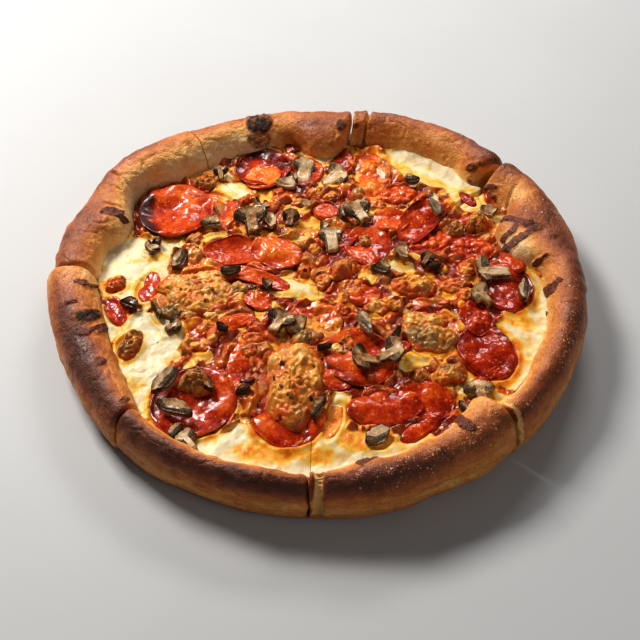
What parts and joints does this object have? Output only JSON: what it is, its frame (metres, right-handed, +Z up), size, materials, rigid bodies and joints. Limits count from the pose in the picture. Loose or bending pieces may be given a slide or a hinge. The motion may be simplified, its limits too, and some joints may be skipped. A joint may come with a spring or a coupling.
{
  "type": "deep dish pizza",
  "caption": "Round deep dish pizza with a high rolled crust, cut into wedges that still lie together, topped with pepperoni, mushroom and sausage over melted cheese and sauce.",
  "frame": {"origin": "middle of the bounding box, on the underside that the pizza rests on", "axes": "+Z up out of the topping; -Y towards the cut that faces the viewer; +X to the viewer's right"},
  "size_m": [0.3095, 0.2962, 0.0412],
  "materials": {
    "crust": "baked dough, golden to dark brown, dry",
    "filling": "melted cheese with tomato sauce and oil, glossy",
    "pepperoni": "cured sausage slice, red, oily",
    "mushroom": "cooked mushroom, grey brown, moist",
    "sausage": "browned crumbly meat, slightly oily"
  },
  "bodies": {
    "root": {"crust_slice_1": "crust", "crust_slice_2": "crust", "crust_slice_3": "crust", "crust_slice_4": "crust", "crust_slice_5": "crust", "crust_slice_6": "crust", "crust_slice_7": "crust", "filling_slice_1": "filling", "filling_slice_2": "filling", "filling_slice_3": "filling", "filling_slice_4": "filling", "filling_slice_5": "filling", "filling_slice_6": "filling", "filling_slice_7": "filling", "pepperoni_01": "pepperoni", "pepperoni_02": "pepperoni", "pepperoni_03": "pepperoni", "pepperoni_04": "pepperoni", "pepperoni_05": "pepperoni", "pepperoni_06": "pepperoni", "pepperoni_07": "pepperoni", "pepperoni_08": "pepperoni", "pepperoni_09": "pepperoni", "pepperoni_10": "pepperoni", "pepperoni_11": "pepperoni", "pepperoni_12": "pepperoni", "pepperoni_13": "pepperoni", "pepperoni_14": "pepperoni", "pepperoni_15": "pepperoni", "pepperoni_16": "pepperoni", "pepperoni_17": "pepperoni", "pepperoni_18": "pepperoni", "mushroom_01": "mushroom", "mushroom_02": "mushroom", "mushroom_03": "mushroom", "mushroom_04": "mushroom", "mushroom_05": "mushroom", "mushroom_06": "mushroom", "mushroom_07": "mushroom", "mushroom_08": "mushroom", "mushroom_09": "mushroom", "mushroom_10": "mushroom", "mushroom_11": "mushroom", "mushroom_12": "mushroom", "mushroom_13": "mushroom", "mushroom_14": "mushroom", "mushroom_15": "mushroom", "mushroom_16": "mushroom", "sausage_01": "sausage", "sausage_02": "sausage", "sausage_03": "sausage", "sausage_04": "sausage", "sausage_05": "sausage", "sausage_06": "sausage", "sausage_07": "sausage", "sausage_08": "sausage", "sausage_09": "sausage", "sausage_10": "sausage", "sausage_11": "sausage", "sausage_12": "sausage"}
  },
  "joints": []
}
